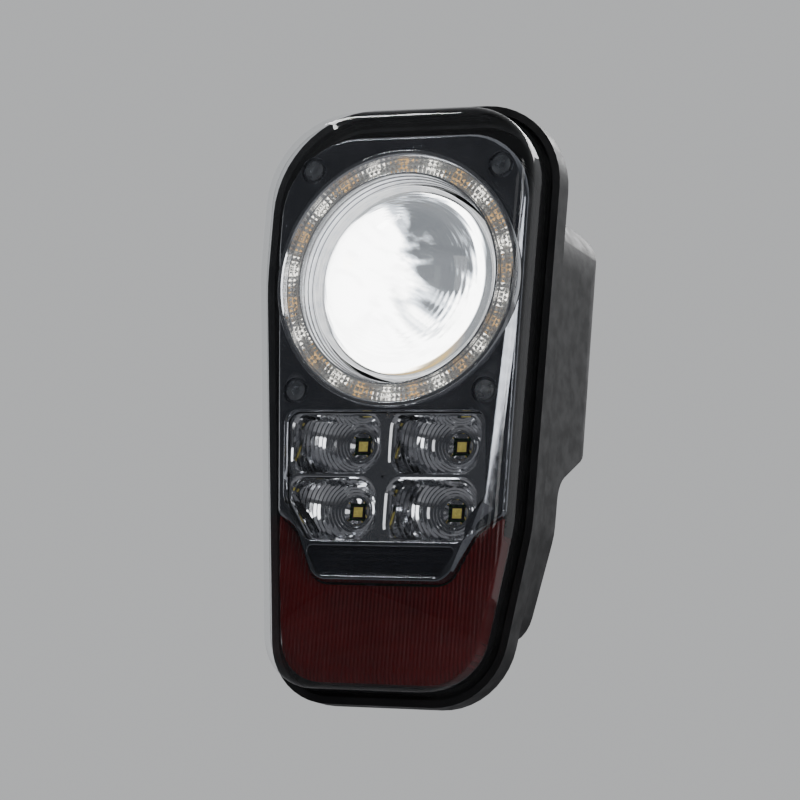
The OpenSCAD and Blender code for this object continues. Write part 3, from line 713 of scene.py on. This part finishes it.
def dome_point(r):
    """Where the dome's surface is at a radius, with the mould's turning marks on it."""
    mark = MARK_DEPTH * ramp(r, *MARKS_FROM) * math.sin(math.tau * r / MARK_PITCH)
    return r, lens_tip + sphere - math.sqrt(sphere ** 2 - r ** 2) + mark


dome = [dome_point(lens_radius * n / DOME_STEPS) for n in range(DOME_STEPS + 1)]
dome += [(lens_radius, lens_back), (0, lens_back)]
piece("projector_dome", spun(dome, steps=128, closed=False), "projector", "projector_lens")
print("lens sphere radius in mm:", round(sphere, 1))

# %% [markdown]
# ## The light behind the lens
# The lamp is lit. The dome magnifies a spot of the barrel's liner that is only a few
# millimetres wide, so the light is drawn on the liner in millimetres: a bright core round
# the axis, a flood along one side with a ragged edge, shade elsewhere, and a thin amber
# band at the shallow edge of the flood, where a real lens splits the light into colours.
# It is a glow in the liner's finish, seen through real glass, so it bends with the glass.

# %% Lit liner
LIT_WAY, LIT_EDGE, LIT_RAGGED = (1, 0, -0.21), (-34.6, -32.2), 0.9
LIT_DEPTH, LIT_CORE = (17.7, 18.7), (23.8, 26.5)
FRINGE_HEIGHT, FRINGE_MOUTH, FRINGE_INNER = (10.6, 12.2), (17.3, 18.7), (14.3, 15.3)
LIT_STRENGTH, SHADE_STRENGTH, FRINGE_STRENGTH = 10.0, 0.3, 1.3
AMBER = (1.0, 0.62, 0.12, 1)


def lit_liner():
    material, tree, shader = finish("lit_liner")
    place = step(tree, "ShaderNodeTexCoord").outputs["Object"]
    parts = step(tree, "ShaderNodeSeparateXYZ", Vector=place)
    inwards = parts.outputs["Y"]
    slanted = step(tree, "ShaderNodeVectorMath", {"operation": "DOT_PRODUCT"}, in0=place,
                   in1=LIT_WAY).outputs["Value"]
    ragged = between(tree, noise(tree, 500, 3), -LIT_RAGGED * MM, LIT_RAGGED * MM)
    side = along(tree, math_of(tree, "ADD", slanted, ragged), LIT_EDGE[1], LIT_EDGE[0],
                 smooth=True)
    deep = along(tree, inwards, *LIT_DEPTH, smooth=True)
    core = along(tree, inwards, *LIT_CORE)
    flood = math_of(tree, "MULTIPLY_ADD", side, deep, core)
    low = along(tree, parts.outputs["Z"], AXIS_Z + FRINGE_HEIGHT[1], AXIS_Z + FRINGE_HEIGHT[0])
    fringe = math_of(tree, "MULTIPLY", along(tree, inwards, FRINGE_MOUTH[1], FRINGE_MOUTH[0]),
                     along(tree, inwards, *FRINGE_INNER, high=low))
    shaded = between(tree, fringe, SHADE_STRENGTH, FRINGE_STRENGTH, 0.0, 1.0)
    level = math_of(tree, "MULTIPLY_ADD", flood, LIT_STRENGTH, shaded)
    cloud = between(tree, noise(tree, 650, 4), 0.84, 1.16)
    wire(tree, math_of(tree, "MULTIPLY", level, cloud), shader.inputs["Emission Strength"])
    pale = tint(tree, flood, (0.75, 0.8, 0.86), (1.0, 0.98, 0.95))
    wire(tree, step(tree, "ShaderNodeMix", {"data_type": "RGBA"}, in0=fringe, in6=pale,
                    in7=AMBER).outputs[2], shader.inputs["Emission Color"])
    wire(tree, tint(tree, noise(tree, 60), (0.08, 0.08, 0.085), (0.14, 0.14, 0.15)),
         shader.inputs["Base Color"])
    wire(tree, between(tree, noise(tree, 300), 0.15, 0.35), shader.inputs["Roughness"])
    return material


FINISHES["lit_liner"] = lit_liner()
LINER_WALL, LINER_STEP, LINER_SHARE = 0.9, 0.5, 0.65
liner_curve = [(35.2, -11.0), (35.0, 0.0), (34.4, 8.0), (31.6, 13.5), (27.5, 18.0),
               (22.0, 22.5), (15.0, 26.0), (7.0, 28.2), (0.0, 29.0)]
liner_profile = []
for (r0, y0), (r1, y1) in zip(liner_curve, liner_curve[1:]):
    part_way = Vector((r0, y0)).lerp(Vector((r1, y1)), LINER_SHARE)
    liner_profile += [(r0, y0), (part_way.x, part_way.y + LINER_STEP)]
liner_profile += [liner_curve[-1]]
liner_back = [(r, y + LINER_WALL) for r, y in reversed(liner_curve)]
piece("barrel_liner", spun(liner_profile + liner_back, steps=96, closed=False),
      "projector", "projector_reflector", look="lit_liner", replaces=False)

# %% [markdown]
# ## The bezel
# One chromed moulding frames everything: a flat front with openings, edges that roll over
# softly, and on one side a wide bevel that catches the light from top to bottom. Each
# opening gets a wall of its own, swept along its outline through a few depths. Filling
# between the walls' front edges makes the flat front, and between their back edges the
# flat back.

# %% Bezel
def swept(bm, corners, stations, steps=10):
    """A wall round an outline. Each station is how far out the wall is, and its depth y.

    Either may be a number, or a rule that gives it from the place on the outline.
    """
    base = rounded(corners, steps)
    rings = []
    for out, y in stations:
        if callable(out):
            spots = [rounded(grown(corners, out(p)), steps)[i] for i, p in enumerate(base)]
        else:
            spots = rounded(grown(corners, out), steps)
        depths = [y(p) if callable(y) else y for p in base]
        rings.append([Vector((p.x, d, p.y)) for p, d in zip(spots, depths)])
    return wrapped(len(base), len(stations) - 1, lambda i, j: rings[j][i % len(base)], bm)


SCREWS = [(x, AXIS_Z + z) for x in (-41, 41) for z in (-45.3, 45.3)]
WIDE_BEVEL, LEAST_BEVEL, SCREW_ROOM = 6.2, 0.35, 5.9
LEAST_DROP, BEVEL_SLOPE = 2.6, 0.68


def bevel_width(p):
    """How wide the bezel's bevel is at a place (x, z) on its outline."""
    wide = WIDE_BEVEL * ramp(p.x, 30, 44) * ramp(p.y, -60, -50) * ramp(-p.y, -16, 6)
    width = 1.0 + 0.6 * ramp(p.y, -60, -45) + wide
    near_screw = min((p - Vector(s)).length for s in SCREWS)
    return max(LEAST_BEVEL, min(width, near_screw - SCREW_ROOM))


def bevel_drop(p):
    """How far back the bevel's outer edge is from the bezel's front."""
    return max(LEAST_DROP, BEVEL_SLOPE * bevel_width(p))


BEZEL_Y, BEZEL_BACK, SKIRT_Y, SKIRT_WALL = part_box("bezel")[0][1] / MM, -22.0, -13.0, 1.0
OPENING_Y = -18.0


def bevel_station(out, down):
    """A station on the bevel: shares of its width and of its drop at each place."""
    return (lambda p: -bevel_width(p) * out, lambda p: BEZEL_Y + down * bevel_drop(p))


bezel_bm = bmesh.new()
swept(bezel_bm, BEZEL, [
    (lambda p: -bevel_width(p) - 0.12, BEZEL_Y), (lambda p: -bevel_width(p), BEZEL_Y + 0.06),
    bevel_station(0.93, 0.1), bevel_station(0.5, 0.45), bevel_station(0.07, 0.82),
    bevel_station(0, 1), (0, SKIRT_Y), (-SKIRT_WALL, SKIRT_Y), (-SKIRT_WALL, BEZEL_BACK + 0.4),
    (lambda p: -max(1.1, bevel_width(p)), BEZEL_BACK)])
for opening in (POCKET, TRAY):
    swept(bezel_bm, opening, [(0.35, BEZEL_Y), (0.16, BEZEL_Y + 0.06), (0.04, BEZEL_Y + 0.2),
                              (0, BEZEL_Y + 0.45), (0, OPENING_Y), (0.5, OPENING_Y),
                              (0.5, BEZEL_BACK)])
spun([(51.6, BEZEL_Y), (51.25, BEZEL_Y + 0.08), (51.0, BEZEL_Y + 0.4), (51.0, BEZEL_BACK)],
     closed=False, bm=bezel_bm)
for screw in SCREWS:
    spun([(5.65, BEZEL_Y), (5.42, BEZEL_Y + 0.1), (5.3, BEZEL_Y + 0.4), (5.3, -21.8),
          (1.6, -21.8), (1.6, -19.8), (5.9, -19.8), (5.9, BEZEL_BACK)], steps=40, closed=False,
         centre=screw, bm=bezel_bm)
bmesh.ops.remove_doubles(bezel_bm, verts=bezel_bm.verts, dist=0.001)
for depth in (BEZEL_Y, BEZEL_BACK):
    rims = [e for e in bezel_bm.edges if e.is_boundary
            and all(abs(v.co.y - depth) < 0.01 for v in e.verts)]
    bmesh.ops.triangle_fill(bezel_bm, use_beauty=True, edges=rims, normal=(0, -1, 0))
piece("bezel_frame", tidy(bezel_bm), "housing", "bezel", corner_degrees=40)

# %% [markdown]
# ## The LED cells
# Each cell is a chromed bowl round one LED. Its surface is broken into rings and sectors
# of small facets, which scatter the light, and the rings are cut off by the cell's own
# opening. So the bowl is worked out in polar terms: for each direction, how far it is to
# the opening and to the edge of the cell's tile, and the rings stop there.

# %% LED cells
def distance_to(points, centre, angle):
    """How far an outline is from a centre, looking along an angle."""
    ray = Vector((math.cos(angle), math.sin(angle)))
    best = 1e9
    for p, q in zip(points, points[1:] + points[:1]):
        side = q - p
        cross = ray.x * side.y - ray.y * side.x
        if abs(cross) < 1e-9:
            continue
        gap = p - centre
        ahead = (gap.x * side.y - gap.y * side.x) / cross
        share = (gap.x * ray.y - gap.y * ray.x) / cross
        if ahead > 0 and -1e-6 <= share <= 1 + 1e-6:
            best = min(best, ahead)
    return best


CELLS = [(-23.2, -17.5), (20.2, -17.5), (-23.2, -44.3), (20.2, -44.3)]
CELL_HALF, LED_OFF, CELL_MID = (18.25, 11.75), (1.4, 2.2), Vector((-1.5, -30.9))
SECTORS, RINGS, FIRST_RING, RING_PITCH, RING_STEP = 96, 18, 5.2, 1.15, (0.25, 0.4)
BOWL_FLOOR, BOWL_FOCUS, BOWL_WALL, LED_HOLE = 2.4, 27, 1.2, 3.5
RIM_Y, TILE_BACK, FAR = -20.0, -9.0, 60


def box_corners(low, high, radius):
    """The four corners of an upright box, clockwise from the upper left."""
    return [(low[0], high[1], radius), (high[0], high[1], radius), (high[0], low[1], radius),
            (low[0], low[1], radius)]


def bowl_y(radius):
    """The depth of a bowl that would send its LED's light straight ahead."""
    return BOWL_FLOOR - radius ** 2 / BOWL_FOCUS


def cell_piece(k):
    centre = Vector(CELLS[k])
    led = centre + Vector(LED_OFF)
    x, z = CELL_HALF
    opening = rounded([(centre.x - x, centre.y + z, 6), (centre.x + x, centre.y + z, 9),
                       (centre.x + x, centre.y - z, 9), (centre.x - x, centre.y - z, 6)])
    side = centre - CELL_MID
    low = CELL_MID - Vector((0 if side.x > 0 else FAR, 0 if side.y > 0 else FAR))
    tile = rounded(box_corners(low, low + Vector((FAR, FAR)), 0.02), 2)
    pocket = rounded(grown(POCKET, -0.3))
    mouth = rounded(grown(POCKET, -1.5))
    half = Vector((LED_HOLE, LED_HOLE))
    square = rounded(box_corners(led - half, led + half, 0.4), 2)
    rings = [FIRST_RING + RING_PITCH * n for n in range(RINGS)]

    def column(i):
        """The section through the cell in one direction: how far from the LED, and y."""
        angle = math.tau * (i % SECTORS) / SECTORS
        wall = min(distance_to(opening, led, angle), distance_to(mouth, led, angle))
        edge = min(distance_to(tile, led, angle), distance_to(pocket, led, angle))
        land = min(2.6, (edge - wall) * 0.8)
        hole = distance_to(square, led, angle)
        spots = [(hole, BOWL_FLOOR + BOWL_WALL), (hole, BOWL_FLOOR)]
        for n, ring in enumerate(rings):
            ring = min(max(ring, hole + 0.1 * n), wall)
            out, forward = RING_STEP if ring < wall else (RING_STEP[0], 0)
            spots.append((ring, bowl_y(ring)))
            spots.append((min(ring + out, wall), bowl_y(ring) - forward))
        spots += [(wall, -17.4), (wall + land * 0.15, -18.6), (wall + land * 0.4, -19.4),
                  (wall + land * 0.75, -19.9), (wall + land, RIM_Y), (edge, RIM_Y),
                  (edge, TILE_BACK), (wall + 0.9, TILE_BACK + 0.01)]
        spots += [(wall + 0.9, bowl_y(wall) + BOWL_WALL),
                  (max(hole + 0.6, wall * 0.5), bowl_y(wall * 0.5) + BOWL_WALL),
                  (hole + 0.5, BOWL_FLOOR + BOWL_WALL)]
        ray = Vector((math.cos(angle), math.sin(angle)))
        return [Vector((led.x + ray.x * r, y, led.y + ray.y * r)) for r, y in spots]

    columns = [column(i) for i in range(SECTORS)]
    across = len(columns[0])
    bm = wrapped(SECTORS, across, lambda i, j: columns[i % SECTORS][j % across])
    bmesh.ops.dissolve_degenerate(bm, edges=bm.edges, dist=0.001)
    piece(f"cell_bowl_{k + 1}", bm, "housing", f"cell_reflector_{k + 1}", corner_degrees=3)


for k in range(len(CELLS)):
    cell_piece(k)

# %% [markdown]
# ## The red section
# A U of red plastic wraps the bezel's foot. Its face is ruled with fine upright flutes,
# which is what gives a marker lens its grain. A flat sheet is laid between the two
# outlines, column by column, each column shifted in depth by the flute it lies on; the
# lower edge is then drawn back into a skirt.

# %% Red section
RED_TOP, RED_Y, FLUTE_PITCH, FLUTE_DEPTH = -47.5, -21.0, 1.7, 0.42
RED_COLUMNS, RED_ROWS, RED_CROWN, RED_WALL, SKIRT_END = 330, 10, 1.1, 1.8, -12.4


def reach_at(points, x, upper):
    """Where an outline crosses an upright line at x: its highest or lowest crossing."""
    found = [p.y + (q.y - p.y) * (x - p.x) / (q.x - p.x)
             for p, q in zip(points, points[1:] + points[:1])
             if min(p.x, q.x) <= x <= max(p.x, q.x) and abs(q.x - p.x) > 1e-9]
    return max(found) if upper else min(found)


red_outer = rounded(grown(COVER, -3.8), 16)
red_inner = rounded(grown(BEZEL, 0.8), 16)
RED_X = (-45.4, 51.9)


def red_point(i, j):
    x = RED_X[0] + (RED_X[1] - RED_X[0]) * i / RED_COLUMNS
    low = reach_at(red_outer, x, False)
    high = min(RED_TOP, reach_at(red_inner, x, False))
    z = low + (max(high, low + 0.4) - low) * j / RED_ROWS
    rim = min(z - low, x - RED_X[0], RED_X[1] - x)
    crown = RED_CROWN * (1 - ramp(rim, -0.5, 3.5))
    flute = FLUTE_DEPTH * (0.5 - 0.5 * math.cos(math.tau * x / FLUTE_PITCH))
    return Vector((x, RED_Y + 0.02 + crown + flute, z))


red_bm = wrapped(RED_COLUMNS, RED_ROWS, red_point)
foot = [e for e in red_bm.edges if e.is_boundary
        and not all(v.co.z > reach_at(red_outer, v.co.x, False) + 0.6 for v in e.verts)]
skirt = bmesh.ops.extrude_edge_only(red_bm, edges=foot)
for v in skirt["geom"]:
    if isinstance(v, bmesh.types.BMVert):
        v.co.y = SKIRT_END
bmesh.ops.recalc_face_normals(red_bm, faces=red_bm.faces)
if sum(f.normal.y * f.calc_area() for f in red_bm.faces) > 0:
    bmesh.ops.reverse_faces(red_bm, faces=red_bm.faces)
bmesh.ops.solidify(red_bm, geom=red_bm.faces[:], thickness=RED_WALL)
piece("red_fluted_lens", red_bm, "housing", "red_lens", corner_degrees=50)

# %% [markdown]
# ## Moulded and cast parts
# Parts whose CAD shape is already right only lack the tiny radius that every real edge
# has. A copy of the part is merged into one skin, its flat areas are made one face each,
# and a bevel of a few tenths of a millimetre runs round every corner. Weighted normals
# keep the flats looking flat beside the small bevels.

# %% Softened copies
def softened(name, part, body, width):
    """A copy of a CAD part with a bevel of so many millimetres on every edge."""
    bm = bmesh.new()
    bm.from_mesh(nodes[part].data)
    bmesh.ops.scale(bm, vec=(1 / MM, 1 / MM, 1 / MM), verts=bm.verts)
    bmesh.ops.remove_doubles(bm, verts=bm.verts, dist=0.002)
    bmesh.ops.dissolve_limit(bm, angle_limit=math.radians(0.5), verts=bm.verts, edges=bm.edges)
    made = piece(name, bm, body, part)
    edge = made.modifiers.new("edges", "BEVEL")
    edge.width, edge.segments, edge.limit_method = width * MM, 3, "ANGLE"
    edge.angle_limit = math.radians(32)
    edge.use_clamp_overlap = True
    edge.harden_normals = True
    flats = made.modifiers.new("flats", "WEIGHTED_NORMAL")
    flats.keep_sharp = True


for name, part, body, width in (
        ("flange_frame", "housing_flange", "housing", 0.5),
        ("housing_bowl", "rear_housing", "housing", 0.6),
        ("gasket_skin", "mounting_gasket", "housing", 0.35),
        ("breather_pair", "breather_caps", "housing", 0.4),
        ("inlet_shroud", "connector_inlet", "housing", 0.3),
        ("bezel_screw_set", "bezel_screws", "housing", 0.2),
        ("stepped_window", "tray_window", "housing", 0.3),
        ("aiming_knob", "aim_knob", "adjuster", 0.35)):
    softened(name, part, body, width)

# %% [markdown]
# ## Threads
# A thread is one tooth's outline carried round and along the shaft at the same time. Spin
# does exactly that when it is given a step along the axis too. The turns meet edge to
# edge, two plane cuts give the ends, and filling the cuts closes the solid.

# %% Threads
def thread(bm, centre, y0, y1, radius, pitch, depth, steps=28):
    """Adds a thread from y0 to y1, with its core, to a bmesh."""
    x, z = centre
    own = bmesh.new()
    turns = math.ceil((y1 - y0) / pitch) + 2
    tooth = [(radius - depth, 0), (radius, 0.38), (radius, 0.5), (radius - depth, 0.88),
             (radius - depth, 1)]
    verts = [own.verts.new((x + r, y0 + (share - 1) * pitch, z)) for r, share in tooth]
    edges = [own.edges.new(pair) for pair in zip(verts, verts[1:])]
    bmesh.ops.spin(own, geom=verts + edges, cent=(x, 0, z), axis=(0, 1, 0),
                   dvec=(0, pitch / steps, 0), angle=math.tau * turns, steps=steps * turns)
    tidy(own)
    for depth_y, way in ((y0, -1), (y1, 1)):
        cut = bmesh.ops.bisect_plane(own, geom=own.verts[:] + own.edges[:] + own.faces[:],
                                     plane_co=(0, depth_y, 0), plane_no=(0, way, 0),
                                     clear_outer=True, dist=1e-5)
        rim = [e for e in cut["geom_cut"] if isinstance(e, bmesh.types.BMEdge)]
        bmesh.ops.contextual_create(own, geom=rim)
    tidy(own)
    mesh = bpy.data.meshes.new("thread")
    own.to_mesh(mesh)
    own.free()
    bm.from_mesh(mesh)
    bpy.data.meshes.remove(mesh)


stud_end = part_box("mounting_studs")[1][1] / MM
stud_bm = bmesh.new()
for stud in [(x, z) for x in (-28, 28) for z in (-103, 103)]:
    spun([(0, -8.4), (4.8, -8.4), (5.2, -8.0), (5.2, -6.0), (3.4, -6.0), (3.4, 0), (0, 0)],
         steps=36, closed=False, centre=stud, bm=stud_bm)
    bmesh.ops.remove_doubles(stud_bm, verts=stud_bm.verts, dist=0.001)
    thread(stud_bm, stud, -0.4, stud_end, radius=3.0, pitch=1.0, depth=0.55)
bmesh.ops.recalc_face_normals(stud_bm, faces=stud_bm.faces)
piece("threaded_studs", stud_bm, "housing", "mounting_studs", corner_degrees=25)
